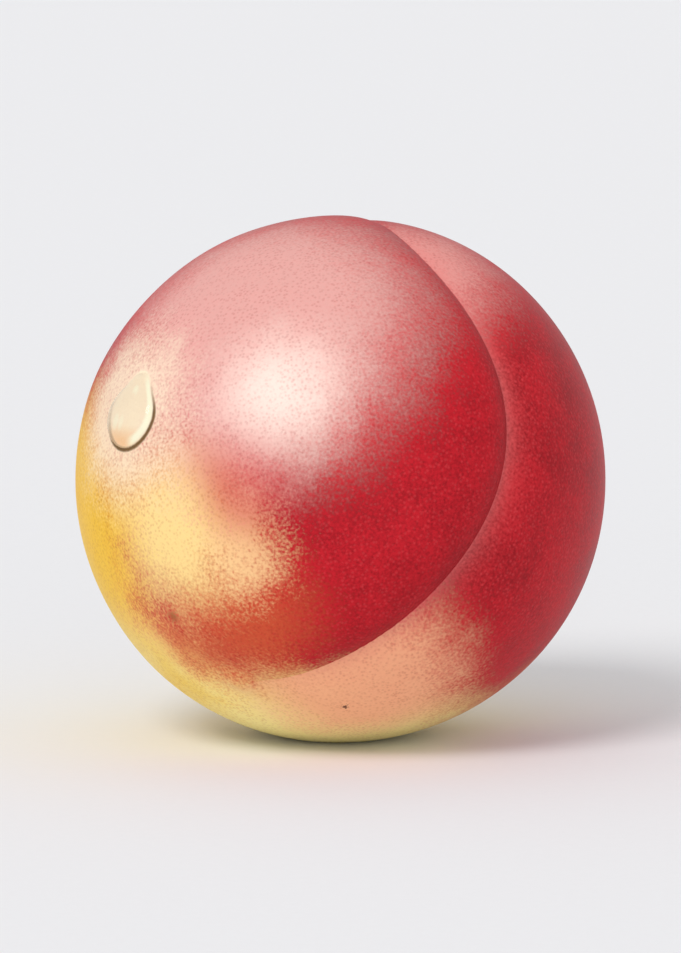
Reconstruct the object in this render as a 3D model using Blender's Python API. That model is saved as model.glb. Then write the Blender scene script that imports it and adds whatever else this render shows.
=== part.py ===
"""A ripe peach as picked: the fruit, the stub of its stalk and one bead of dew on its skin.

Run it with blender --background --python part.py, or from Blender's text editor.

Units are metres and +Z is up. Every piece is drawn in the growing frame: the stalk's axis is parallel to
Z, the tip points down and the origin is the middle of the fruit. One empty then leans the whole peach over
to the way it lies at rest, with its small flat spot on Z = 0 and the origin under the middle of its box.

A place on the skin is a polar angle, from 0 at the stalk to 180 degrees at the tip, and an azimuth
counted from the suture. Both are seen from the core, the point on the stalk's axis where the stone lies.
The core is off centre, so the two cheeks are unequal.
"""

import math

import bmesh
import bpy
from mathutils import Matrix, Vector

# Driving sizes of the fruit.
CHEEK_DIAMETER = 0.070
CORE_OFFSET_SHARE = 0.312  # of the fruit's radius
CORE_HEADING = math.radians(-144.0)  # from the suture's direction at the tip
SHOULDER_FULLNESS = 0.020  # how much wider the stalk end is, and how much narrower the tip end

# The hollow that the stalk sits in, and the small tip at the other end.
CAVITY_SHARE = 0.27  # of the distance from the core to the skin
CAVITY_ANGLE = math.radians(15.5)
CAVITY_STEEPNESS = 1.9
TIP_DIMPLE_SHARE = 0.022
TIP_DIMPLE_ANGLE = math.radians(11.0)
TIP_POINT_SHARE = 0.026
TIP_POINT_ANGLE = math.radians(3.6)

# The suture: a crease with a steep wall on the larger cheek and a gentle one on the smaller.
SUTURE_DEPTH = 0.0017
SUTURE_STEEP_WALL = 0.0019
SUTURE_GENTLE_WALL = 0.0042
SUTURE_SWING = math.radians(25.2)  # how far it sweeps sideways over the shoulder
SUTURE_SWING_POLAR = math.radians(79.0)
SUTURE_SWING_SOFTNESS = math.radians(12.7)
SUTURE_FADE_POLAR = math.radians(164.0)
SUTURE_FADE_SOFTNESS = math.radians(8.0)
SUTURE_ROUNDNESS = 0.00025  # how far across its bottom is rounded
SHOULDER_EASE = 0.6  # how much shallower it is where it crosses the shoulder
SHOULDER_EASE_POLAR = math.radians(34.0)
SHOULDER_EASE_WIDTH = math.radians(18.0)

# The way it lies: the stalk end leans back, and the fruit rests on a small flat spot.
LEAN = math.radians(39.6)
LEAN_HEADING = math.radians(84.0)
SUTURE_TURN = math.radians(-115.7)
FLAT_DEPTH = 0.0006

# The stub of the stalk, from the floor of the cavity outwards: (height, sideways lean, radius).
STALK_STATIONS = (
    (0.0000, 0.0000, 0.0021),
    (0.0009, 0.0001, 0.0016),
    (0.0030, 0.0004, 0.0013),
    (0.0052, 0.0010, 0.0013),
    (0.0070, 0.0017, 0.0017),
    (0.0076, 0.0020, 0.0016),
)
STALK_HEADING = math.radians(40.0)

# The dewdrop: a bead that has run down the skin and drags a thinner tail above it.
DROP_POLAR = math.radians(98.0)
DROP_AZIMUTH = math.radians(-93.0)
DROP_LENGTH = 0.0108
DROP_WIDTH = 0.0102
DROP_HEIGHT = 0.0017
DROP_TAIL_SHARE = 0.55  # the tail's width over the bead's
DROP_TAIL_FULLNESS = 0.7  # below 1 the tail ends bluntly
DROP_NECK = 0.35  # where the bead narrows to the tail, from -1 at the foot of the drop to 1 at its top
DROP_NECK_SOFTNESS = 0.16
DROP_SAG = 0.35  # how much fuller the bead is below its middle, and thinner above it

# Meshing and fits.
GAP = 0.0003  # clearance between touching pieces
MERIDIANS = 64
PARALLELS = 40
MERIDIAN_CROWDING = 0.72  # how strongly the meridians gather at the suture
DROP_SEGMENTS = 20
DROP_RINGS = 12
STEP = 1e-3  # of an angle, for measuring the skin's slope
FLOOR_TURN = 15  # degrees between the places where the cavity's floor is measured
FRUIT_CREASE = math.radians(35)  # sharper edges than this are not smoothed
DROP_CREASE = math.radians(50)

# Finishes: colour and roughness.
SKIN = ((0.62, 0.07, 0.06), 0.45)
BARK = ((0.17, 0.10, 0.05), 0.75)
WATER = ((0.96, 0.93, 0.86), 0.03)

FRUIT_RADIUS = CHEEK_DIAMETER / 2
CORE = Vector((math.cos(CORE_HEADING), math.sin(CORE_HEADING), 0)) * CORE_OFFSET_SHARE * FRUIT_RADIUS


def bell(angle, width, power=2.0):
    """1 at no angle, falling smoothly to 0 past the width."""
    return math.exp(-((abs(angle) / width) ** power))


def soft_step(value, middle, softness):
    """0 well below the middle and 1 well above it."""
    return 0.5 + 0.5 * math.tanh((value - middle) / (2 * softness))


def suture_azimuth(polar):
    """Where the suture runs at this polar angle: straight near the tip, swept aside over the shoulder."""
    return -SUTURE_SWING * (1 - soft_step(polar, SUTURE_SWING_POLAR, SUTURE_SWING_SOFTNESS))


def suture_cut(polar, across):
    """How deep the suture is at a distance across it. The steep wall is on the negative side."""
    wall = SUTURE_STEEP_WALL if across < 0 else SUTURE_GENTLE_WALL
    fade = 1 - soft_step(polar, SUTURE_FADE_POLAR, SUTURE_FADE_SOFTNESS)
    fade *= 1 - SHOULDER_EASE * bell(polar - SHOULDER_EASE_POLAR, SHOULDER_EASE_WIDTH)
    away = math.hypot(across, SUTURE_ROUNDNESS) - SUTURE_ROUNDNESS
    return SUTURE_DEPTH * fade * math.exp(-away / wall)


def skin_point(polar, azimuth):
    """The point of the skin at these angles, in the growing frame."""
    heading = suture_azimuth(polar) + azimuth
    ray = Vector(
        (math.sin(polar) * math.cos(heading), math.sin(polar) * math.sin(heading), math.cos(polar))
    )
    along = CORE.dot(ray)
    reach = -along + math.sqrt(along * along + FRUIT_RADIUS**2 - CORE.length_squared)
    from_tip = math.pi - polar
    reach *= 1 + SHOULDER_FULLNESS * math.cos(polar)
    reach *= 1 - CAVITY_SHARE * bell(polar, CAVITY_ANGLE, CAVITY_STEEPNESS)
    reach *= 1 - TIP_DIMPLE_SHARE * bell(from_tip, TIP_DIMPLE_ANGLE)
    reach *= 1 + TIP_POINT_SHARE * bell(from_tip, TIP_POINT_ANGLE)
    reach -= suture_cut(polar, azimuth * reach * math.sin(polar))
    return CORE + ray * reach


def skin_normal(polar, azimuth):
    """The outward direction of the skin at these angles."""
    down = skin_point(polar + STEP, azimuth) - skin_point(polar - STEP, azimuth)
    round_it = skin_point(polar, azimuth + STEP) - skin_point(polar, azimuth - STEP)
    return down.cross(round_it).normalized()


def lean_matrix():
    """The turn from the growing frame to the way the peach lies."""
    return (
        Matrix.Rotation(LEAN_HEADING, 4, "Z")
        @ Matrix.Rotation(LEAN, 4, "Y")
        @ Matrix.Rotation(SUTURE_TURN, 4, "Z")
    )


def clear_scene():
    """Removes every object that is in the scene."""
    for obj in list(bpy.data.objects):
        bpy.data.objects.remove(obj, do_unlink=True)


def make_material(name, finish):
    """A Principled material in one plain colour."""
    colour, roughness = finish
    material = bpy.data.materials.new(name)
    material.use_nodes = True
    shader = material.node_tree.nodes["Principled BSDF"]
    shader.inputs["Base Color"].default_value = (*colour, 1.0)
    shader.inputs["Roughness"].default_value = roughness
    return material


def add_object(name, data, material, collection, parent):
    """An object holding this mesh or curve, in the collection and carried by the parent."""
    obj = bpy.data.objects.new(name, data)
    data.materials.append(material)
    collection.objects.link(obj)
    obj.parent = parent
    return obj


def shade_smooth(mesh, sharp_angle):
    """Smooth shading with the sharper creases kept."""
    mesh.shade_smooth()
    mesh.set_sharp_from_angle(angle=sharp_angle)


def cut_flat_spot(bm, down):
    """Slices the underside square to the down direction, so that the fruit has a flat spot to rest on."""
    lowest = max(v.co.dot(down) for v in bm.verts)
    cut = bmesh.ops.bisect_plane(
        bm,
        geom=bm.verts[:] + bm.edges[:] + bm.faces[:],
        plane_co=down * (lowest - FLAT_DEPTH),
        plane_no=down,
        clear_outer=True,
    )
    rim = [item for item in cut["geom_cut"] if isinstance(item, bmesh.types.BMEdge)]
    bmesh.ops.contextual_create(bm, geom=rim)


def fruit_mesh(down):
    """The flesh and skin as one solid, from a sphere whose meridians run along the suture."""
    bm = bmesh.new()
    bmesh.ops.create_uvsphere(bm, u_segments=MERIDIANS, v_segments=PARALLELS, radius=1.0)
    for vert in bm.verts:
        polar = math.acos(max(-1.0, min(1.0, vert.co.z)))
        even = math.atan2(vert.co.y, vert.co.x)
        azimuth = even - MERIDIAN_CROWDING * math.sin(even)
        vert.co = skin_point(polar, azimuth)
    cut_flat_spot(bm, down)
    bmesh.ops.recalc_face_normals(bm, faces=bm.faces[:])
    mesh = bpy.data.meshes.new("fruit")
    bm.to_mesh(mesh)
    bm.free()
    shade_smooth(mesh, FRUIT_CREASE)
    return mesh


def cavity_floor_under(radius):
    """The highest the cavity's floor is under a disc of this radius round the stalk's axis."""
    polar = radius / (skin_point(0.0, 0.0) - CORE).length
    turns = range(0, 360, FLOOR_TURN)
    return max(skin_point(polar, math.radians(turn)).z for turn in turns)


def stalk_curve():
    """The stub of the stalk: a short woody tube, flared where it meets the fruit and where it broke off."""
    foot = Vector((CORE.x, CORE.y, cavity_floor_under(STALK_STATIONS[0][2]) + GAP))
    aside = Vector((math.cos(STALK_HEADING), math.sin(STALK_HEADING), 0))
    curve = bpy.data.curves.new("stalk", "CURVE")
    curve.dimensions = "3D"
    curve.bevel_depth = 1.0  # each point's radius then is the stalk's own
    curve.bevel_resolution = 3
    curve.use_fill_caps = True
    spline = curve.splines.new("POLY")
    spline.points.add(len(STALK_STATIONS) - 1)
    for point, (height, lean, radius) in zip(spline.points, STALK_STATIONS):
        point.co = (*(foot + Vector((0, 0, height)) + aside * lean), 1.0)
        point.radius = radius
    return curve


def drop_mesh(up):
    """The dewdrop: a dome with a round foot and a thin tail, lying on the skin with its tail uphill."""
    seat = skin_point(DROP_POLAR, DROP_AZIMUTH)
    out = skin_normal(DROP_POLAR, DROP_AZIMUTH)
    uphill = (up - out * up.dot(out)).normalized()
    across = uphill.cross(out)
    middle = seat - out * FRUIT_RADIUS
    bm = bmesh.new()
    bmesh.ops.create_uvsphere(bm, u_segments=DROP_SEGMENTS, v_segments=DROP_RINGS, radius=1.0)
    for vert in bm.verts:
        side, tail, rise = vert.co
        tail = tail if tail < 0 else tail**DROP_TAIL_FULLNESS
        narrowing = 1 - (1 - DROP_TAIL_SHARE) * soft_step(tail, DROP_NECK, DROP_NECK_SOFTNESS)
        rise = max(rise, 0.0)
        bulge = narrowing * (1 - DROP_SAG * tail)
        place = across * (side * DROP_WIDTH / 2 * narrowing) + uphill * (tail * DROP_LENGTH / 2)
        direction = (out * FRUIT_RADIUS + place).normalized()
        vert.co = middle + direction * (FRUIT_RADIUS + GAP + rise * bulge * DROP_HEIGHT)
    bmesh.ops.recalc_face_normals(bm, faces=bm.faces[:])
    mesh = bpy.data.meshes.new("dew_drop")
    bm.to_mesh(mesh)
    bm.free()
    shade_smooth(mesh, DROP_CREASE)
    return mesh


def lay_down(carrier, mesh, lean):
    """Sets the carrier so that the fruit lies on Z = 0 with its box centred on the origin."""
    turned = [lean @ vert.co for vert in mesh.vertices]
    low = Vector([min(point[axis] for point in turned) for axis in range(3)])
    high = Vector([max(point[axis] for point in turned) for axis in range(3)])
    shift = Vector((-(low.x + high.x) / 2, -(low.y + high.y) / 2, -low.z))
    carrier.matrix_world = Matrix.Translation(shift) @ lean


def build_peach():
    """Makes the collection, the carrier that leans the peach over, and its pieces."""
    collection = bpy.data.collections.new("peach")
    bpy.context.scene.collection.children.link(collection)
    carrier = bpy.data.objects.new("resting_pose", None)
    collection.objects.link(carrier)
    skin = make_material("peach_skin", SKIN)
    bark = make_material("stalk_bark", BARK)
    water = make_material("dew_water", WATER)
    lean = lean_matrix()
    up = lean.to_3x3().transposed() @ Vector((0, 0, 1))
    fruit = add_object("fruit", fruit_mesh(-up), skin, collection, carrier)
    add_object("stalk", stalk_curve(), bark, collection, carrier)
    add_object("dew_drop", drop_mesh(up), water, collection, carrier)
    lay_down(carrier, fruit.data, lean)


clear_scene()
build_peach()
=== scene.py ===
"""A ripe peach as picked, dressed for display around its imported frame.

The peach lies on its side, its stalk end leaning back. Three pieces are made here: the fruit with its
downy skin, the woody stub of its stalk, and a bead of dew on the left cheek. Lengths are in metres.

The fruit is drawn in its growing frame first: the stalk's axis is Z, the tip points down and the origin
is the middle of the fruit. A place on the skin is a polar angle from the stalk and an azimuth from the
suture, both seen from the core. The whole peach is then leaned over on to its small flat spot.
"""

import logging
import math
from dataclasses import dataclass, field
from enum import Enum
from typing import Any, Union

import bmesh
import bpy
from mathutils import Matrix, Vector, noise


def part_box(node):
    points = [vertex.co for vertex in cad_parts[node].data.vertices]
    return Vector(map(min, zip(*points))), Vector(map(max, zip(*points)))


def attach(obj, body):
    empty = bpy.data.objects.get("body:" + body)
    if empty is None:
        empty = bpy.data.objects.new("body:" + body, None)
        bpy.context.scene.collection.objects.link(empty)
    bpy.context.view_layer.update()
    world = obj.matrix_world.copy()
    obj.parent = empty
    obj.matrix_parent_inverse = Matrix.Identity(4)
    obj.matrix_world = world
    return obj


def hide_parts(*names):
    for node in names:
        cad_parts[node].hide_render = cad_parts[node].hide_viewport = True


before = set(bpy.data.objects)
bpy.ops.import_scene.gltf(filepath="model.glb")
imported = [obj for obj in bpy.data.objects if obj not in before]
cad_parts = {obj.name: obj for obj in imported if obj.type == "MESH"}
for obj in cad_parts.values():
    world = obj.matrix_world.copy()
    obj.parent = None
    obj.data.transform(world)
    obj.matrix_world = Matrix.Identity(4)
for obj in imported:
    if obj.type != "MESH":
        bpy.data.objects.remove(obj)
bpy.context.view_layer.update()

BODY = "root"
MILLIMETRE = 0.001
LOG = logging.getLogger("peach")

Colour = tuple[float, float, float]
Span = tuple[float, float]
Number = Union["Value", float]


# ---------------------------------------------------------------------------------------------------
# Numbers and colours


def paint(red: int, green: int, blue: int) -> Colour:
    """Turns a paint colour into the linear numbers that a shader takes.

    Args:
        red: The red in the paint, 0 to 255.
        green: The green in it.
        blue: The blue in it.

    Returns:
        The same colour in linear light.
    """

    def linear(level: float) -> float:
        """One channel, from 0 to 1, in linear light."""
        return level / 12.92 if level <= 0.04045 else ((level + 0.055) / 1.055) ** 2.4

    return linear(red / 255), linear(green / 255), linear(blue / 255)


def bell(distance: float, width: float, power: float = 2.0) -> float:
    """Gives 1 at no distance, falling smoothly to 0.

    Args:
        distance: How far from the middle of the bell.
        width: Where it has fallen to 1 / e.
        power: How square its shoulders are.

    Returns:
        A number from 0 to 1.
    """
    return math.exp(-((abs(distance) / width) ** power))


def soft_step(value: float, middle: float, softness: float) -> float:
    """Gives 0 well below the middle and 1 well above it.

    Args:
        value: The number to weigh.
        middle: Where the step is half way up.
        softness: How gradual it is.

    Returns:
        A number from 0 to 1.
    """
    return 0.5 + 0.5 * math.tanh((value - middle) / (2 * softness))


def toward(heading: float, height: float) -> Vector:
    """Gives a direction from the middle of the fruit as it lies.

    Args:
        heading: Degrees round from the front, positive to the right.
        height: Degrees above the level of the middle.

    Returns:
        The unit vector.
    """
    turn, rise = math.radians(heading), math.radians(height)
    return Vector((math.sin(turn) * math.cos(rise), -math.cos(turn) * math.cos(rise), math.sin(rise)))


def polar_of(ray: Vector) -> float:
    """A unit vector's angle from the stalk."""
    return math.acos(max(-1.0, min(1.0, ray.z)))


# ---------------------------------------------------------------------------------------------------
# Shader building


class Value:
    """A number that changes over a surface. Arithmetic on it adds Math nodes."""

    def __init__(self, graph: "Graph", socket: bpy.types.NodeSocket) -> None:
        """Wraps one output socket of a graph's node."""
        self.graph = graph
        self.socket = socket

    def _math(self, operation: str, first: Number, second: Number) -> "Value":
        """Adds one Math node on two numbers."""
        return self.graph.value("ShaderNodeMath", {"operation": operation}, {0: first, 1: second})

    def __add__(self, other: Number) -> "Value":
        """This number plus another."""
        return self._math("ADD", self, other)

    def __radd__(self, other: Number) -> "Value":
        """A plain number plus this one."""
        return self._math("ADD", other, self)

    def __sub__(self, other: Number) -> "Value":
        """This number less another."""
        return self._math("SUBTRACT", self, other)

    def __rsub__(self, other: Number) -> "Value":
        """A plain number less this one."""
        return self._math("SUBTRACT", other, self)

    def __mul__(self, other: Number) -> "Value":
        """This number times another."""
        return self._math("MULTIPLY", self, other)

    def __rmul__(self, other: Number) -> "Value":
        """A plain number times this one."""
        return self._math("MULTIPLY", other, self)

    def __pow__(self, other: Number) -> "Value":
        """This number to a power."""
        return self._math("POWER", self, other)

    def tanh(self) -> "Value":
        """The hyperbolic tangent, an even step from -1 to 1."""
        return self._math("TANH", self, 0.0)

    def clipped(self, low: float, high: float) -> "Value":
        """This number held between two others."""
        return self.graph.value("ShaderNodeClamp", {}, {"Value": self, "Min": low, "Max": high})

    def rise(self, low: float, high: float) -> "Value":
        """Steps smoothly between two levels.

        Args:
            low: The level at which the result is 0.
            high: The level at which it is 1. It may lie below the other, for a fall.

        Returns:
            A number from 0 to 1.
        """
        ends = {"Value": self, "From Min": low, "From Max": high, "To Min": 0.0, "To Max": 1.0}
        return self.graph.value("ShaderNodeMapRange", {"interpolation_type": "SMOOTHSTEP"}, ends)


class Graph:
    """The nodes of one material, and the only place where nodes are added."""

    def __init__(self, name: str) -> None:
        """Starts a material with an empty graph."""
        self.material = bpy.data.materials.new(name)
        self.material.use_nodes = True
        self.tree = self.material.node_tree
        self.tree.nodes.clear()
        self.place = self.node("ShaderNodeTexCoord").outputs["Object"]

    def node(
        self, kind: str, settings: dict[str, Any] | None = None, inputs: dict[Any, Any] | None = None
    ) -> bpy.types.Node:
        """Adds a node of any type.

        Args:
            kind: The node's type.
            settings: Its settings, which are set first.
            inputs: What goes in its sockets, by name or number: a value, a Value or another socket.

        Returns:
            The new node.
        """
        node = self.tree.nodes.new(kind)
        for name, setting in (settings or {}).items():
            setattr(node, name, setting)
        for name, given in (inputs or {}).items():
            source = given.socket if isinstance(given, Value) else given
            if isinstance(source, bpy.types.NodeSocket):
                self.tree.links.new(source, node.inputs[name])
            else:
                node.inputs[name].default_value = source
        return node

    def value(self, kind: str, settings: dict[str, Any], inputs: dict[Any, Any]) -> Value:
        """Adds a node and wraps its first output as a number."""
        return Value(self, self.node(kind, settings, inputs).outputs[0])

    def attribute(self, name: str) -> Value:
        """The number that the mesh holds under this name."""
        node = self.node("ShaderNodeAttribute", {"attribute_name": name})
        return Value(self, node.outputs["Fac"])

    def vector(self, operation: str, first: Any, second: Any) -> bpy.types.NodeSocket:
        """Adds one Vector Math node and gives its vector."""
        node = self.node("ShaderNodeVectorMath", {"operation": operation}, {0: first, 1: second})
        return node.outputs["Vector"]

    def unit(self, given: Any) -> bpy.types.NodeSocket:
        """A vector's direction, 1 long."""
        return self.vector("NORMALIZE", given, (0.0, 0.0, 0.0))

    def distance(self, first: Any, second: Any) -> Value:
        """How far apart two points are."""
        node = self.node("ShaderNodeVectorMath", {"operation": "DISTANCE"}, {0: first, 1: second})
        return Value(self, node.outputs["Value"])

    def along(self, first: Any, second: Any) -> Value:
        """How far one vector reaches along another."""
        node = self.node("ShaderNodeVectorMath", {"operation": "DOT_PRODUCT"}, {0: first, 1: second})
        return Value(self, node.outputs["Value"])

    def rod(self, given: Any, axis: Vector, share: float = 1.0) -> bpy.types.NodeSocket:
        """Takes the part of a vector that lies along an axis.

        Args:
            given: The vector.
            axis: The axis, 1 long.
            share: How much of that part is taken.

        Returns:
            The part's socket.
        """
        height = self.along(given, tuple(axis))
        spread = self.node("ShaderNodeCombineXYZ", {}, {0: height, 1: height, 2: height})
        return self.vector("MULTIPLY", spread.outputs["Vector"], tuple(axis * share))

    def mottle(self, grain: float, place: Any = None, detail: float = 2.0, rough: float = 0.5) -> Value:
        """Cloudy variation about nought.

        Args:
            grain: The size of its clouds, in the units of the place.
            place: Where it is read. The object's own coordinates, in metres, if left out.
            detail: How many finer layers it has.
            rough: How strong those are.

        Returns:
            A number mostly from -0.25 to 0.25.
        """
        ins = {"Vector": place or self.place, "Scale": 1 / grain, "Detail": detail, "Roughness": rough}
        return self.value("ShaderNodeTexNoise", {"noise_dimensions": "3D"}, ins) - 0.5

    def dots(self, spacing: float, place: Any = None) -> Value:
        """How far the nearest of many scattered dots is, as a share of their spacing."""
        ins = {"Vector": place or self.place, "Scale": 1 / spacing}
        return self.value("ShaderNodeTexVoronoi", {"feature": "F1"}, ins)

    def blend(self, share: Number, first: Any, second: Any, mode: str = "MIX") -> bpy.types.NodeSocket:
        """Lays one colour over another.

        Args:
            share: How much of the second shows.
            first: The colour below.
            second: The colour laid over it.
            mode: How the two meet.

        Returns:
            The colour's socket.
        """
        colours = [(*c, 1.0) if isinstance(c, tuple) else c for c in (first, second)]
        ins = {0: share, 6: colours[0], 7: colours[1]}
        settings = {"data_type": "RGBA", "blend_type": mode, "clamp_factor": True}
        return self.node("ShaderNodeMix", settings, ins).outputs[2]

    def bump(self, height: Value, strength: float, depth: float) -> bpy.types.NodeSocket:
        """Turns a height into a tilt of the surface.

        Args:
            height: The height, as a share of the depth.
            strength: How much of the tilt is used.
            depth: The height's full depth in metres.

        Returns:
            The normal's socket.
        """
        ins = {"Height": height, "Strength": strength, "Distance": depth}
        return self.node("ShaderNodeBump", {}, ins).outputs["Normal"]

    def finish(self, shader: dict[str, Any]) -> bpy.types.Material:
        """Closes the graph with a Principled shader.

        Args:
            shader: What goes in the shader's sockets.

        Returns:
            The material.
        """
        last = self.node("ShaderNodeBsdfPrincipled", {}, shader)
        self.node("ShaderNodeOutputMaterial", {}, {"Surface": last.outputs["BSDF"]})
        return self.material


# ---------------------------------------------------------------------------------------------------
# The peach's own shape


@dataclass(frozen=True)
class Form:
    """The shape of the skin in the growing frame, and the way the peach lies."""

    radius: float = 0.035
    core_share: float = 0.312
    core_heading: float = math.radians(-144.0)
    shoulder: float = 0.020
    cavity: float = 0.27
    cavity_angle: float = math.radians(15.5)
    cavity_power: float = 1.9
    tip_dimple: float = 0.022
    tip_dimple_angle: float = math.radians(11.0)
    tip_point: float = 0.026
    tip_point_angle: float = math.radians(3.6)
    suture_depth: float = 0.0017
    steep_wall: float = 0.0019
    gentle_wall: float = 0.0042
    swing: float = math.radians(25.2)
    swing_polar: float = math.radians(79.0)
    swing_softness: float = math.radians(12.7)
    fade_polar: float = math.radians(164.0)
    fade_softness: float = math.radians(8.0)
    roundness: float = 0.00025
    ease: float = 0.6
    ease_polar: float = math.radians(34.0)
    ease_width: float = math.radians(18.0)
    lean_angle: float = math.radians(39.6)
    lean_heading: float = math.radians(84.0)
    suture_turn: float = math.radians(-115.7)
    flat_depth: float = 0.0006
    slope_step: float = 1e-3

    @property
    def core(self) -> Vector:
        """Where the stone lies, from the middle of the fruit."""
        heading = Vector((math.cos(self.core_heading), math.sin(self.core_heading), 0))
        return heading * self.core_share * self.radius

    @property
    def lean(self) -> Matrix:
        """The turn from the growing frame to the way the peach lies."""
        turn = Matrix.Rotation(self.suture_turn, 4, "Z")
        return Matrix.Rotation(self.lean_heading, 4, "Z") @ Matrix.Rotation(self.lean_angle, 4, "Y") @ turn

    def suture_fade(self, polar: float) -> float:
        """How much of the suture is left at this polar angle."""
        over_shoulder = 1 - self.ease * bell(polar - self.ease_polar, self.ease_width)
        return over_shoulder * (1 - soft_step(polar, self.fade_polar, self.fade_softness))

    def skin(self, polar: float, azimuth: float) -> tuple[Vector, float]:
        """Finds a place on the skin.

        Args:
            polar: Its angle from the stalk.
            azimuth: Its angle round from the suture.

        Returns:
            The point in the growing frame, and its distance across the suture.
        """
        heading, low = self.swung(polar) + azimuth, math.sin(polar)
        ray = Vector((low * math.cos(heading), low * math.sin(heading), math.cos(polar)))
        core = self.core
        along = core.dot(ray)
        reach = -along + math.sqrt(along * along + self.radius**2 - core.length_squared)
        from_tip = math.pi - polar
        reach *= 1 + self.shoulder * math.cos(polar)
        reach *= 1 - self.cavity * bell(polar, self.cavity_angle, self.cavity_power)
        reach *= 1 - self.tip_dimple * bell(from_tip, self.tip_dimple_angle)
        reach *= 1 + self.tip_point * bell(from_tip, self.tip_point_angle)
        across = azimuth * reach * low
        wall = self.steep_wall if across < 0 else self.gentle_wall
        away = math.hypot(across, self.roundness) - self.roundness
        reach -= self.suture_depth * self.suture_fade(polar) * math.exp(-away / wall)
        return core + ray * reach, across

    def swung(self, polar: float) -> float:
        """How far the suture is swept aside at this polar angle."""
        return -self.swing * (1 - soft_step(polar, self.swing_polar, self.swing_softness))

    def under(self, point: Vector) -> Vector:
        """The point of the skin that is under or over another point, as seen from the core."""
        ray = (point - self.core).normalized()
        polar = polar_of(ray)
        return self.skin(polar, math.atan2(ray.y, ray.x) - self.swung(polar))[0]

    def outward(self, polar: float, azimuth: float) -> Vector:
        """The skin's outward direction at these angles."""
        step = self.slope_step
        down = self.skin(polar + step, azimuth)[0] - self.skin(polar - step, azimuth)[0]
        around = self.skin(polar, azimuth + step)[0] - self.skin(polar, azimuth - step)[0]
        return down.cross(around).normalized()


@dataclass(frozen=True)
class Placement:
    """Where the peach lies: the lean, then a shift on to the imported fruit's own box."""

    matrix: Matrix
    middle: Vector

    @classmethod
    def on_frame(cls, form: Form, points: list[Vector]) -> "Placement":
        """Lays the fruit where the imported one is.

        Args:
            form: The shape of the peach.
            points: The fruit's points in the growing frame.

        Returns:
            The placement.
        """
        low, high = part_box("fruit")
        turned = [form.lean @ point for point in points]
        least = Vector([min(point[axis] for point in turned) for axis in range(3)])
        most = Vector([max(point[axis] for point in turned) for axis in range(3)])
        middle = (low + high) / 2 - (least + most) / 2
        middle.z = low.z - least.z - form.flat_depth
        return cls(Matrix.Translation(middle) @ form.lean, middle)


@dataclass(frozen=True)
class Footprint:
    """Where the dewdrop stands on the skin: its middle, its directions and its outline."""

    seat: Vector
    out: Vector
    uphill: Vector
    across: Vector
    half_length: float
    half_width: float
    tail_share: float
    tail_fullness: float
    neck: float
    neck_softness: float


class Piece:
    """A finished piece: its mesh, its finish and what it stands for."""

    def __init__(self, name: str, bm: bmesh.types.BMesh) -> None:
        """Makes the object at the origin from a mesh that is already in place."""
        bm.normal_update()
        bmesh.ops.recalc_face_normals(bm, faces=bm.faces[:])
        mesh = bpy.data.meshes.new(name)
        bm.to_mesh(mesh)
        bm.free()
        mesh.shade_smooth()
        self.object = bpy.data.objects.new(name, mesh)
        bpy.context.scene.collection.objects.link(self.object)

    def dress(self, material: bpy.types.Material, node: str) -> None:
        """Gives the piece its finish and ties it to the frame.

        Args:
            material: Its finish.
            node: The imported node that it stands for.
        """
        self.object.data.materials.append(material)
        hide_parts(node)
        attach(self.object, BODY)
        LOG.info("%s: %d faces", self.object.name, len(self.object.data.polygons))


# ---------------------------------------------------------------------------------------------------
# Finishes


class Edge(Enum):
    """How a patch of colour ends."""

    SOFT = (0.12, 0.08)
    STIPPLED = (0.18, 0.26)
    CRISP = (0.03, 0.06)


@dataclass(frozen=True)
class Patch:
    """A round patch of colour on the skin: mostly the skin's own colour, though some patches are painted
    light.

    Its heading and height are the direction of its centre in degrees, and its reach and fade are in
    fruit radii: the colour is whole within reach - fade and gone at reach + fade.
    """

    heading: float
    height: float
    reach: float
    fade: float
    colour: Colour
    strength: float
    edge: Edge = Edge.STIPPLED
    only: str = ""


@dataclass(frozen=True)
class Weave:
    """How much of the skin's broad, cloudy and fine variation goes into a number, about its level."""

    broad: float = 0.0
    cloud: float = 0.0
    grain: float = 0.0
    level: float = 0.0

    def mix(self, broad: Value, cloud: Value, grain: Value) -> Value:
        """The three variations mixed in these shares."""
        return broad * self.broad + cloud * self.cloud + grain * self.grain + self.level


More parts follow.
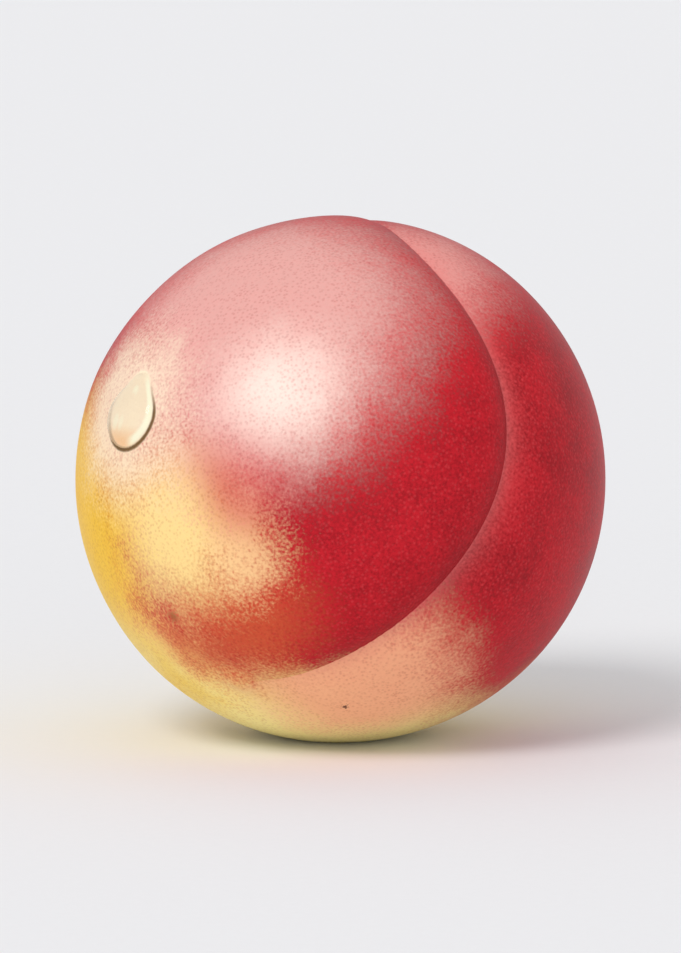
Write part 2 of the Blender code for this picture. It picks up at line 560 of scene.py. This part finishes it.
@dataclass(frozen=True)
class SkinFinish:
    """The downy skin: a yellow ground with a crimson blush over the side that faced the sun, with some
    light and shade painted on it.

    A range is the two levels between which something comes in. Where the first is the higher, it comes
    in as the level falls.
    """

    broad_grain: float = 16 * MILLIMETRE
    cloud_grain: float = 4.5 * MILLIMETRE
    fine_grain: float = 0.40 * MILLIMETRE
    down_grain: float = 0.22 * MILLIMETRE
    ground: Colour = paint(246, 208, 84)
    ground_pale: Colour = paint(252, 226, 136)
    ground_tone: Weave = Weave(broad=2.0, level=0.5)
    ground_range: Span = (0.2, 0.8)
    turning: Colour = paint(232, 122, 72)
    turning_lead: float = 0.14
    turning_strength: float = 0.8
    blush: Colour = paint(194, 24, 38)
    blush_deep: Colour = paint(146, 8, 22)
    blush_tone: Weave = Weave(0.7, 0.9, 1.3, 0.55)
    blush_speck: Colour = paint(222, 84, 88)
    blush_speck_spacing: float = 0.60 * MILLIMETRE
    blush_speck_range: Span = (0.46, 0.14)
    blush_speck_strength: float = 0.18
    sun_heading: float = 40.0
    sun_height: float = 52.4
    sun_edge: float = -0.28
    sun_fade: float = 0.20
    sun_wander: Weave = Weave(0.55, 0.25, 0.28)
    stalk_reach: float = 0.66
    stalk_paling: float = 0.72
    streak_width: float = 0.20
    streak_strength: float = 1.1
    # Painted shade and painted light along the suture's two walls.
    crease_shade: float = 0.50
    crease_light: Colour = paint(230, 122, 120)
    crease_light_strength: float = 0.46
    speck: Colour = (0.74, 0.60, 0.60)
    speck_spacing: float = 0.50 * MILLIMETRE
    speck_range: Span = (0.56, 0.12)
    speck_crowd: Weave = Weave(cloud=1.5, level=0.80)
    speck_least: float = 0.2
    speck_grain: float = 0.8
    speck_strength: float = 0.58
    roughness: Weave = Weave(cloud=0.12, grain=0.10, level=0.50)
    relief: Weave = Weave(cloud=1.5, grain=0.9, level=0.5)
    down_relief: float = 0.5
    relief_strength: float = 0.5
    relief_depth: float = 0.08 * MILLIMETRE
    patches: tuple[Patch, ...] = (
        Patch(-27.0, -23.0, 0.30, 0.18, paint(208, 88, 52), 0.76),
        # Yellow ground on the underside, paled beyond its own colour as painted light on the shaded
        # bottom.
        Patch(-6.0, -74.0, 0.50, 0.24, paint(255, 242, 168), 0.92),
        Patch(-40.0, -3.0, 0.30, 0.20, paint(250, 220, 146), 0.92),
        Patch(-22.0, -8.0, 0.13, 0.13, paint(248, 206, 150), 0.75),
        Patch(-80.0, -6.0, 0.44, 0.20, paint(242, 196, 44), 0.90),
        # Pale bloom on the upper cheek, partly the skin's own bloom and partly painted light round the key
        # lamp's gleam.
        Patch(-29.1, 46.0, 0.60, 0.28, paint(230, 176, 168), 0.82),
        Patch(-60.0, 20.0, 0.28, 0.18, paint(244, 222, 194), 0.85),
        Patch(-22.0, 7.0, 0.16, 0.13, paint(206, 88, 84), 0.65),
        # A painted highlight: pale cream laid where the key lamp's gleam falls.
        Patch(-14.2, 27.6, 0.20, 0.20, paint(250, 226, 214), 0.85, Edge.SOFT),
        Patch(6.0, -42.0, 0.38, 0.20, paint(246, 178, 138), 0.92, Edge.STIPPLED, "small_cheek"),
        Patch(44.0, 66.0, 0.32, 0.22, paint(232, 160, 152), 0.80, Edge.STIPPLED, "small_cheek"),
        Patch(-43.8, -24.4, 0.022, 0.016, paint(150, 84, 40), 0.70, Edge.CRISP),
        Patch(1.8, -50.8, 0.010, 0.006, paint(84, 40, 26), 0.90, Edge.CRISP),
    )


@dataclass(frozen=True)
class WetRimPaintedLightAndShade:
    """The skin under and round the dewdrop: a dark line at its foot, partly wet skin and partly painted
    shadow, and painted light for what the drop gathers inside.

    Places and widths are in the drop's half lengths and half widths, apart from the depth. A spot is how
    far aside it is, how far uphill, and its size.
    """

    # The line is partly wet skin and partly painted shadow; fill, gleam and warm are painted light.
    line: Colour = paint(104, 72, 26)
    fill: Colour = paint(255, 238, 206)
    gleam: Colour = paint(255, 250, 222)
    warm: Colour = paint(246, 176, 98)
    depth_range: Span = (-4.0 * MILLIMETRE, -2.5 * MILLIMETRE)
    inside_range: Span = (1.02, 0.90)
    fill_strength: float = 0.75
    warm_range: Span = (-0.35, -0.80)
    warm_strength: float = 0.55
    gleam_at: float = 0.80
    gleam_width: float = 0.16
    gleam_range: Span = (0.05, 0.45)
    spots: tuple[tuple[float, float, float], ...] = ((-0.34, -0.38, 0.24), (-0.02, 0.46, 0.16))
    spot_slimness: float = 1.7
    spot_strength: float = 0.9
    line_width: float = 0.085
    line_breaks: float = 0.004
    line_slant: float = 0.42
    line_range: Span = (0.62, -0.45)
    line_strength: float = 0.95
    far: float = 2.0

    def paint_over(self, graph: "Graph", colour: Any, spot: Footprint, grain: Value) -> Any:
        """Paints the wet skin, with its painted shadow line and the painted light under the drop.

        Args:
            graph: The skin's graph.
            colour: The skin's colour so far.
            spot: Where the drop stands.
            grain: The skin's fine stipple, which breaks the line up.

        Returns:
            The colour with the wet skin, painted shadow and painted light on it.
        """
        offset = graph.vector("SUBTRACT", graph.place, tuple(spot.seat))
        side = graph.along(offset, tuple(spot.across)) * (1 / spot.half_width)
        tail = graph.along(offset, tuple(spot.uphill)) * (1 / spot.half_length)
        near = graph.along(offset, tuple(spot.out)).rise(*self.depth_range)
        reach = self._reach(side, tail, spot)

        inside = reach.rise(*self.inside_range) * near
        # Painted light: the skin inside the drop brightened for the light it gathers.
        colour = graph.blend(inside * self.fill_strength, colour, self.fill)
        # Painted light, warm, low inside the drop.
        low = tail.rise(*self.warm_range)
        colour = graph.blend(inside * low * self.warm_strength, colour, self.warm)
        # Painted highlight: a pale gleam just inside the drop's edge.
        ring = reach - self.gleam_at
        gleam = (ring * ring).rise(self.gleam_width**2, 0.0) * side.rise(*self.gleam_range)
        colour = graph.blend(gleam * inside, colour, self.gleam)
        # Painted highlights: two small gleams inside the drop.
        for aside, up, size in self.spots:
            off_side, off_tail = (side - aside) * self.spot_slimness, tail - up
            spot_share = (off_side * off_side + off_tail * off_tail).rise(size**2, 0.0)
            colour = graph.blend(spot_share * inside * self.spot_strength, colour, self.gleam)
        # The dark line at the foot: partly wet skin, partly painted shadow, strongest towards the drop's
        # lower side.
        edge = reach - 1.0
        line = (edge * edge + grain * self.line_breaks).rise(self.line_width**2, 0.0)
        strong = (tail - side * self.line_slant).rise(*self.line_range)
        return graph.blend(line * strong * near * self.line_strength, colour, self.line)

    def _reach(self, side: Value, tail: Value, spot: Footprint) -> Value:
        """Follows the drop's outline, which narrows towards its tail.

        Args:
            side: How far aside a place is, in half widths.
            tail: How far uphill it is, in half lengths.
            spot: Where the drop stands.

        Returns:
            How far out the place is, 1 on the outline.
        """
        step = ((tail - spot.neck) * (0.5 / spot.neck_softness)).tanh() * 0.5 + 0.5
        girth = side * ((1 - (1 - spot.tail_share) * step) ** -1.0)
        over, under = tail.clipped(0.0, self.far), tail.clipped(-self.far, 0.0)
        return (girth * girth + under * under + over ** (2 / spot.tail_fullness)) ** 0.5


@dataclass(frozen=True)
class SkinShader:
    """Builds the skin's material from its finish."""

    finish: SkinFinish
    middle: Vector
    core: Vector
    stalk: Vector
    spot: Footprint

    def build(self) -> bpy.types.Material:
        """Makes the material.

        Returns:
            The finished skin.
        """
        finish, graph = self.finish, Graph("peach_skin")
        outward = graph.unit(graph.vector("SUBTRACT", graph.place, tuple(self.middle)))
        broad = graph.mottle(finish.broad_grain)
        cloud = graph.mottle(finish.cloud_grain, detail=3.0)
        grain = graph.mottle(finish.fine_grain, detail=1.5)
        kinds = (broad, cloud, grain)

        colour = self._blushed(graph, outward, kinds)
        for patch in finish.patches:
            wander, stipple = patch.edge.value
            away = graph.distance(outward, tuple(toward(patch.heading, patch.height)))
            away = away + cloud * wander + grain * stipple
            share = away.rise(patch.reach + patch.fade, patch.reach - patch.fade) * patch.strength
            if patch.only:
                share = share * graph.attribute(patch.only)
            colour = graph.blend(share, colour, patch.colour)
        # Painted shade and painted light along the suture.
        colour = self._painted_crease_shade_and_light(graph, colour, grain)
        crowd = finish.speck_crowd.mix(*kinds).clipped(finish.speck_least, 1.0)
        specks = graph.dots(finish.speck_spacing).rise(*finish.speck_range) * crowd
        stipple = (specks + grain * finish.speck_grain).clipped(0.0, 1.0)
        colour = graph.blend(stipple * finish.speck_strength, colour, finish.speck, "MULTIPLY")
        # Wet skin, painted shadow and painted light under the dewdrop.
        colour = WetRimPaintedLightAndShade().paint_over(graph, colour, self.spot, grain)

        down = graph.mottle(finish.down_grain)
        relief = finish.relief.mix(*kinds) + down * finish.down_relief
        return graph.finish(
            {
                "Base Color": colour,
                "Roughness": finish.roughness.mix(*kinds),
                "Normal": graph.bump(relief, finish.relief_strength, finish.relief_depth),
                "IOR": 1.40,
                "Specular IOR Level": 0.20,
                "Sheen Weight": 0.05,
                "Sheen Roughness": 0.45,
                "Sheen Tint": (1.0, 0.72, 0.68, 1.0),
            }
        )

    def _blushed(self, graph: Graph, outward: Any, kinds: tuple[Value, Value, Value]) -> Any:
        """Lays the blush over the ground, with a turning colour between them.

        Args:
            graph: The skin's graph.
            outward: The direction from the middle of the fruit.
            kinds: The broad, cloudy and fine variation.

        Returns:
            The colour's socket.
        """
        finish = self.finish
        tone = finish.ground_tone.mix(*kinds).rise(*finish.ground_range)
        ground = graph.blend(tone, finish.ground, finish.ground_pale)
        sun = tuple(toward(finish.sun_heading, finish.sun_height))
        lit = graph.along(outward, sun) + finish.sun_wander.mix(*kinds) + self._stalk_end(graph)
        start, end = finish.sun_edge - finish.sun_fade, finish.sun_edge + finish.sun_fade
        turning = lit.rise(start - finish.turning_lead, end - finish.turning_lead)
        depth = finish.blush_tone.mix(*kinds).rise(0.0, 1.0)
        blush = graph.blend(depth, finish.blush_deep, finish.blush)
        elsewhere = graph.vector("ADD", graph.place, (0.5, 0.5, 0.5))
        specks = graph.dots(finish.blush_speck_spacing, elsewhere).rise(*finish.blush_speck_range)
        blush = graph.blend(specks * finish.blush_speck_strength, blush, finish.blush_speck)
        colour = graph.blend(turning * finish.turning_strength, ground, finish.turning)
        return graph.blend(lit.rise(start, end), colour, blush)

    def _painted_crease_shade_and_light(self, graph: Graph, colour: Any, grain: Value) -> Any:
        """Paints shade on the suture's steep wall, deepening its blush, and paints light along its gentle
        one.

        Args:
            graph: The skin's graph.
            colour: The skin's colour so far.
            grain: The skin's fine stipple.

        Returns:
            The colour's socket.
        """
        finish = self.finish
        left = graph.attribute("suture_painted_shade")
        right = graph.attribute("suture_painted_light")
        # Painted shade: the steep wall darkened towards the deep blush.
        colour = graph.blend(left**2.0 * finish.crease_shade, colour, finish.blush_deep)
        # Painted light: a pale line along the gentle wall.
        ridge = (right**2.0 + grain * right).clipped(0.0, 1.0)
        return graph.blend(ridge * finish.crease_light_strength, colour, finish.crease_light)

    def _stalk_end(self, graph: Graph) -> Value:
        """How much less blush there is round the stalk's hollow, in streaks that run out from it.

        Args:
            graph: The skin's graph.

        Returns:
            What to add to the light that a place had.
        """
        finish = self.finish
        ray = graph.unit(graph.vector("SUBTRACT", graph.place, tuple(self.core)))
        near = graph.distance(ray, tuple(self.stalk)).rise(finish.stalk_reach, 0.0)
        around = graph.unit(graph.vector("SUBTRACT", ray, graph.rod(ray, self.stalk)))
        streaks = graph.mottle(finish.streak_width, around)
        return near * (streaks * finish.streak_strength - finish.stalk_paling)


@dataclass(frozen=True)
class BarkFinish:
    """The dry bark of the stalk stub, fibrous along its length and pale where it broke off."""

    dark: Colour = paint(74, 52, 36)
    light: Colour = paint(142, 112, 80)
    broken: Colour = paint(196, 170, 124)
    green: Colour = paint(122, 118, 62)
    fibre_grain: float = 0.35 * MILLIMETRE
    fibre_squeeze: float = 0.86
    fibre_tone: float = 2.2
    patch_grain: float = 1.6 * MILLIMETRE
    patch_tone: float = 1.4
    tone_range: Span = (0.05, 0.95)
    green_wander: float = 0.8
    green_range: Span = (0.45, 0.05)
    green_strength: float = 0.6
    pore_spacing: float = 0.7 * MILLIMETRE
    pore_range: Span = (0.30, 0.16)
    pore_strength: float = 0.6
    end_wander: float = 0.6
    end_range: Span = (0.35, 0.75)
    fibre_relief: float = 1.6
    patch_relief: float = 0.7
    pore_relief: float = 0.25
    relief_strength: float = 0.8
    relief_depth: float = 0.15 * MILLIMETRE
    roughness: float = 0.72
    roughness_spread: float = 0.25

    def build(self) -> bpy.types.Material:
        """Makes the material.

        Returns:
            The finished bark.
        """
        graph = Graph("stalk_bark")
        height, end = graph.attribute("height"), graph.attribute("broken_end")
        fibre = graph.mottle(self.fibre_grain, self._grain_place(graph), detail=3.0, rough=0.6)
        patchy = graph.mottle(self.patch_grain, detail=3.0)
        tone = (fibre * self.fibre_tone + patchy * self.patch_tone + 0.5).rise(*self.tone_range)
        colour = graph.blend(tone, self.dark, self.light)
        green = (height + patchy * self.green_wander).rise(*self.green_range)
        colour = graph.blend(green * self.green_strength, colour, self.green)
        pores = graph.dots(self.pore_spacing).rise(*self.pore_range)
        colour = graph.blend(pores * self.pore_strength, colour, self.broken)
        colour = graph.blend((end + fibre * self.end_wander).rise(*self.end_range), colour, self.broken)
        relief = fibre * self.fibre_relief + patchy * self.patch_relief + pores * self.pore_relief + 0.5
        return graph.finish(
            {
                "Base Color": colour,
                "Roughness": self.roughness + fibre * self.roughness_spread,
                "Normal": graph.bump(relief, self.relief_strength, self.relief_depth),
                "Specular IOR Level": 0.35,
            }
        )

    def _grain_place(self, graph: Graph) -> bpy.types.NodeSocket:
        """Coordinates squeezed along the stalk, so that what is read there runs in long fibres."""
        axis = Form().lean.to_3x3() @ Vector((0, 0, 1))
        return graph.vector("SUBTRACT", graph.place, graph.rod(graph.place, axis, self.fibre_squeeze))


@dataclass(frozen=True)
class WaterFinish:
    """Clear dew, barely tinted by the dust of the skin."""

    tint: Colour = (1.0, 0.985, 0.95)
    clear: Colour = (1.0, 1.0, 1.0)
    body: float = 0.55
    ripple_grain: float = 1.8 * MILLIMETRE
    ripple_range: Span = (-0.25, 0.25)
    roughness: float = 0.02
    roughness_spread: float = 0.02
    roughness_range: Span = (-0.4, 0.4)
    relief_strength: float = 0.25
    relief_depth: float = 0.05 * MILLIMETRE

    def build(self) -> bpy.types.Material:
        """Makes the material.

        Returns:
            The finished water.
        """
        graph = Graph("dew_water")
        ripple = graph.mottle(self.ripple_grain)
        rough = ripple.rise(*self.roughness_range) * self.roughness_spread
        return graph.finish(
            {
                "Base Color": graph.blend(ripple.rise(*self.ripple_range), self.tint, self.clear),
                "Roughness": self.roughness + rough,
                "Normal": graph.bump(ripple + 0.5, self.relief_strength, self.relief_depth),
                "IOR": 1.333,
                "Alpha": self.body,
                "Specular IOR Level": 0.8,
                "Transmission Weight": 1.0,
            }
        )


# ---------------------------------------------------------------------------------------------------
# Pieces


@dataclass
class Fruit:
    """The fruit: flesh and skin as one closed body, resting on its flat spot."""

    form: Form
    meridians: int = 344
    parallels: int = 284
    crowding: float = 0.78
    swell: float = 0.00022
    swell_grain: float = 0.55
    flat_softness: float = 0.00012
    painted_shade_band: float = 0.0046
    painted_light_band: float = 0.0026
    cheek_from: float = 0.016
    cheek_to: float = 0.030
    cheek_blend: float = 1 / 8
    crease_edge: float = 1e-6

    def build(self, dew: "DewDrop") -> Placement:
        """Models the fruit and dresses it.

        Args:
            dew: The dewdrop that wets its skin and whose painted shadow and painted light lie on it.

        Returns:
            Where the peach lies, for its other pieces.
        """
        bm = bmesh.new()
        bmesh.ops.create_uvsphere(bm, u_segments=self.meridians, v_segments=self.parallels, radius=1.0)
        # Masks for the painted shade and painted light on the suture's walls, and the small cheek.
        marks = [bm.verts.layers.float.new(n) for n in ("suture_painted_shade", "suture_painted_light", "small_cheek")]
        for vert in bm.verts:
            polar = polar_of(vert.co)
            even = math.atan2(vert.co.y, vert.co.x)
            ball = vert.co.copy()
            vert.co, across = self.form.skin(polar, even - self.crowding * math.sin(even))
            vert.co += ball * noise.noise(ball / self.swell_grain) * self.swell
            for mark, amount in zip(marks, self._marks(polar, across)):
                vert[mark] = amount
        placement = Placement.on_frame(self.form, [vert.co for vert in bm.verts])
        bm.transform(placement.matrix)
        self._press_flat(bm)
        core = placement.matrix @ self.form.core
        stalk = placement.matrix.to_3x3() @ Vector((0, 0, 1))
        spot = dew.footprint(placement)
        skin = SkinShader(SkinFinish(), placement.middle, core, stalk, spot).build()
        Piece("peach_fruit", bm).dress(skin, "fruit")
        return placement

    def _marks(self, polar: float, across: float) -> tuple[float, float, float]:
        """Weighs where the finish paints shade and light along the suture, and where the small cheek is.

        Args:
            polar: The place's angle from the stalk.
            across: Its distance across the suture.

        Returns:
            How much painted shade it takes on the left, how much painted light on the right, and whether
            it is on the small cheek.
        """
        fade = self.form.suture_fade(polar)
        # The left mask carries painted shade, the right one painted light.
        left = fade * math.exp(across / self.painted_shade_band) if across < self.crease_edge else 0.0
        right = fade * math.exp(-across / self.painted_light_band) if across > -self.crease_edge else 0.0
        span = (self.cheek_to - self.cheek_from) * self.cheek_blend
        cheek = 1 - soft_step(across, (self.cheek_to + self.cheek_from) / 2, span) if across > 0 else 0.0
        return left, right, cheek

    def _press_flat(self, bm: bmesh.types.BMesh) -> None:
        """Presses the underside flat on the surface, with a soft edge."""
        soft = self.flat_softness
        for vert in bm.verts:
            vert.co.z = (vert.co.z + math.sqrt(vert.co.z**2 + soft**2)) / 2


@dataclass
class Stalk:
    """The woody stub in the fruit's hollow: flared at its foot, swollen and torn where it broke off."""

    form: Form
    length: float = 0.0076
    neck: float = 0.00125
    foot_flare: float = 0.00085
    foot_height: float = 0.0009
    knob: float = 0.0004
    knob_height: float = 0.0071
    knob_length: float = 0.0009
    bend: float = 0.0020
    heading: float = math.radians(40.0)
    foot_radius: float = 0.0021
    foot_turns: int = 24
    sides: int = 56
    rings: int = 44
    ridges: int = 7
    ridge_rise: float = 0.045
    ridge_twist: float = 2.0
    lobes: int = 3
    lobe_rise: float = 0.03
    lobe_twist: float = -4.0
    lump_rise: float = 0.10
    lump_around: float = 1.3
    lump_along: float = 6.0
    clearance: float = 0.0003
    sunk: float = 0.0004
    sunk_share: float = 1 / 12
    end_rings: int = 5
    end_step: float = 0.17
    end_level: float = 0.499
    end_from: float = 0.90
    end_softness: float = 0.012
    end_dish: float = 0.10
    end_hollow: float = 0.035
    tear: float = 0.030
    tear_grain: float = 3.1
    tear_layer: float = 4.7

    def build(self, placement: Placement) -> None:
        """Models the stub and dresses it.

        Args:
            placement: Where the peach lies.
        """
        bm = bmesh.new()
        bmesh.ops.create_cone(
            bm, cap_ends=True, segments=self.sides, radius1=1.0, radius2=1.0, depth=1.0
        )
        uprights = [e for e in bm.edges if abs(e.verts[0].co.z - e.verts[1].co.z) > 0.5]
        bmesh.ops.subdivide_edges(bm, edges=uprights, cuts=self.rings, use_grid_fill=True)
        self._tear_end(bm)
        height_mark = bm.verts.layers.float.new("height")
        end_mark = bm.verts.layers.float.new("broken_end")
        foot = self._foot()
        for vert in bm.verts:
            share = vert.co.z + 0.5
            out = Vector((vert.co.x, vert.co.y, 0))
            vert[height_mark] = min(share, 1.0)
            dished = share - self.end_dish * out.length
            vert[end_mark] = soft_step(dished, self.end_from, self.end_softness)
            vert.co = foot + self._place(share, out)
        bm.transform(placement.matrix)
        Piece("peach_stalk", bm).dress(BarkFinish().build(), "stalk")

    def _tear_end(self, bm: bmesh.types.BMesh) -> None:
        """Insets the upper end in rings and pushes its fibres up and down."""
        top = [face for face in bm.faces if face.normal.z > 0.9]
        for _ in range(self.end_rings):
            bmesh.ops.inset_region(bm, faces=top, thickness=self.end_step, depth=0.0)
        bmesh.ops.poke(bm, faces=top)
        for vert in bm.verts:
            if vert.co.z > self.end_level:
                across = vert.co.xy * self.tear_grain
                fibre = noise.noise(Vector((*across, self.tear_layer)))
                reach = math.hypot(vert.co.x, vert.co.y)
                vert.co.z += self.tear * fibre - self.end_hollow * (1 - reach)

    def _foot(self) -> Vector:
        """The foot's centre: on the hollow's floor, a little sunk, so that no light shows under it."""
        polar = self.foot_radius / (self.form.skin(0.0, 0.0)[0] - self.form.core).length
        turns = [math.tau * step / self.foot_turns for step in range(self.foot_turns)]
        floor = max(self.form.skin(polar, turn)[0].z for turn in turns)
        return Vector((self.form.core.x, self.form.core.y, floor + self.clearance))

    def _place(self, share: float, out: Vector) -> Vector:
        """Places one point of the stub.

        Args:
            share: How far up the stub it is, from 0 to 1.
            out: Its direction from the stub's axis, 1 long on the bark.

        Returns:
            The point, from the foot's centre.
        """
        height = share * self.length
        radius = self.neck + self.foot_flare * math.exp(-height / self.foot_height)
        radius += self.knob * bell(height - self.knob_height, self.knob_length)
        turn = math.atan2(out.y, out.x)
        ridge = self.ridge_rise * math.cos(self.ridges * turn + self.ridge_twist * share)
        lobe = self.lobe_rise * math.cos(self.lobes * turn + self.lobe_twist * share)
        around = out.xy * self.lump_around
        lump = self.lump_rise * noise.noise(Vector((*around, share * self.lump_along)))
        radius *= 1 + ridge + lobe + lump
        aside = Vector((math.cos(self.heading), math.sin(self.heading), 0)) * self.bend * share**2
        sink = self.sunk * (1 - min(1.0, share / self.sunk_share))
        return out * radius + aside + Vector((0, 0, height - sink))


@dataclass
class DewDrop:
    """A bead of dew that has run down the skin and drags a thinner tail above it."""

    form: Form
    polar: float = math.radians(98.0)
    azimuth: float = math.radians(-93.0)
    length: float = 0.0108
    width: float = 0.0102
    height: float = 0.0017
    tail_share: float = 0.55
    tail_fullness: float = 0.7
    neck: float = 0.35
    neck_softness: float = 0.16
    sag: float = 0.35
    segments: int = 96
    rings: int = 64
    sunk: float = 0.00020
    rooted: float = 0.0010

    def _seat(self) -> tuple[Vector, Vector, Vector, Vector]:
        """Its middle on the skin, then the ways out, uphill and across, all in the growing frame."""
        out = self.form.outward(self.polar, self.azimuth)
        up = self.form.lean.to_3x3().transposed() @ Vector((0, 0, 1))
        uphill = (up - out * up.dot(out)).normalized()
        return self.form.skin(self.polar, self.azimuth)[0], out, uphill, uphill.cross(out)

    def footprint(self, placement: Placement) -> Footprint:
        """Says where the drop stands on the peach as it lies.

        Args:
            placement: Where the peach lies.

        Returns:
            Its footprint.
        """
        seat, *ways = self._seat()
        turn = placement.matrix.to_3x3()
        return Footprint(
            placement.matrix @ seat,
            *(turn @ way for way in ways),
            self.length / 2,
            self.width / 2,
            self.tail_share,
            self.tail_fullness,
            self.neck,
            self.neck_softness,
        )

    def build(self, placement: Placement) -> None:
        """Models the drop and dresses it.

        Args:
            placement: Where the peach lies.
        """
        seat, out, uphill, across = self._seat()
        middle = seat - out * self.form.radius
        bm = bmesh.new()
        bmesh.ops.create_uvsphere(bm, u_segments=self.segments, v_segments=self.rings, radius=1.0)
        for vert in bm.verts:
            side, tail, rise = vert.co
            tail = tail if tail < 0 else tail**self.tail_fullness
            narrowing = 1 - (1 - self.tail_share) * soft_step(tail, self.neck, self.neck_softness)
            bulge = narrowing * (1 - self.sag * tail) * self.height
            place = across * (side * self.width / 2 * narrowing) + uphill * (tail * self.length / 2)
            direction = (out * self.form.radius + place).normalized()
            lift = rise * (bulge if rise > 0 else self.rooted) - self.sunk
            vert.co = self.form.under(middle + direction * self.form.radius) + direction * lift
        bm.transform(placement.matrix)
        Piece("dew_bead", bm).dress(WaterFinish().build(), "dew_drop")


# ---------------------------------------------------------------------------------------------------
# The studio


@dataclass
class Lamp:
    """A far, round soft box: it lights the peach and the floor evenly and shows as a round gleam."""

    name: str
    heading: float
    height: float
    width: float
    power: float
    colour: Colour

    def build(self, aim: Vector) -> None:
        """Hangs the lamp.

        Args:
            aim: What it points at.
        """
        light = bpy.data.lights.new(self.name, "SUN")
        light.angle = math.radians(self.width)
        light.energy, light.color = self.power, self.colour
        lamp = bpy.data.objects.new(self.name, light)
        away = toward(self.heading, self.height)
        lamp.location = aim + away
        lamp.rotation_euler = away.to_track_quat("Z", "Y").to_euler()
        bpy.context.scene.collection.objects.link(lamp)


@dataclass
class Studio:
    """A plain pale floor, soft light from the upper left and a long lens."""

    aim: Vector
    lens: float = 400.0
    sees_from: float = 0.01
    sees_to: float = 20.0
    distance: float = 1.40
    elevation: float = 8.0
    floor_width: float = 6.0
    floor_colour: Colour = paint(236, 236, 238)
    floor_shade: float = 0.985
    floor_grain: float = 1.5 * MILLIMETRE
    sky: Colour = (0.97, 0.98, 1.0)
    sky_strength: float = 0.70
    lamps: tuple[Lamp, ...] = field(
        default_factory=lambda: (
            Lamp("key_light", -34.3, 45.2, 24.0, 1.35, (1.0, 0.98, 0.95)),
            Lamp("low_fill", 2.0, 5.0, 50.0, 0.68, (1.0, 0.99, 0.97)),
        )
    )

    def build(self) -> None:
        """Sets up the floor, the sky, the lamps and the camera."""
        self._floor()
        self._sky()
        for lamp in self.lamps:
            lamp.build(self.aim)
        self._camera()
        bpy.context.scene.view_settings.view_transform = "Standard"

    def _floor(self) -> None:
        """Lays the floor, which isn't part of the peach."""
        bm = bmesh.new()
        bmesh.ops.create_grid(bm, x_segments=1, y_segments=1, size=self.floor_width / 2)
        mesh = bpy.data.meshes.new("floor")
        bm.to_mesh(mesh)
        bm.free()
        floor = bpy.data.objects.new("floor", mesh)
        graph = Graph("pale_paper")
        tooth = graph.mottle(self.floor_grain)
        dim = tuple(level * self.floor_shade for level in self.floor_colour)
        shade = graph.blend((tooth + 0.5).rise(0.0, 1.0), dim, self.floor_colour)
        paper = graph.finish({"Base Color": shade, "Roughness": 0.9, "Specular IOR Level": 0.1})
        mesh.materials.append(paper)
        bpy.context.scene.collection.objects.link(floor)

    def _sky(self) -> None:
        """Fills the studio with an even pale light."""
        world = bpy.data.worlds.new("studio")
        world.use_nodes = True
        background = world.node_tree.nodes["Background"]
        background.inputs["Color"].default_value = (*self.sky, 1.0)
        background.inputs["Strength"].default_value = self.sky_strength
        bpy.context.scene.world = world

    def _camera(self) -> None:
        """Stands the camera in front of the peach, looking slightly down."""
        data = bpy.data.cameras.new("camera")
        data.lens, data.clip_start, data.clip_end = self.lens, self.sees_from, self.sees_to
        camera = bpy.data.objects.new("camera", data)
        back = toward(0.0, self.elevation)
        camera.location = self.aim + back * self.distance
        camera.rotation_euler = (-back).to_track_quat("-Z", "Y").to_euler()
        bpy.context.scene.collection.objects.link(camera)
        bpy.context.scene.camera = camera


def main() -> None:
    """Builds the peach piece by piece, then the studio round it."""
    logging.basicConfig(level=logging.INFO, format="%(message)s")
    form = Form()
    dew = DewDrop(form)
    placement = Fruit(form).build(dew)
    Stalk(form).build(placement)
    dew.build(placement)
    low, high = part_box("fruit")
    Studio((low + high) / 2).build()


if __name__ == "__main__":
    main()
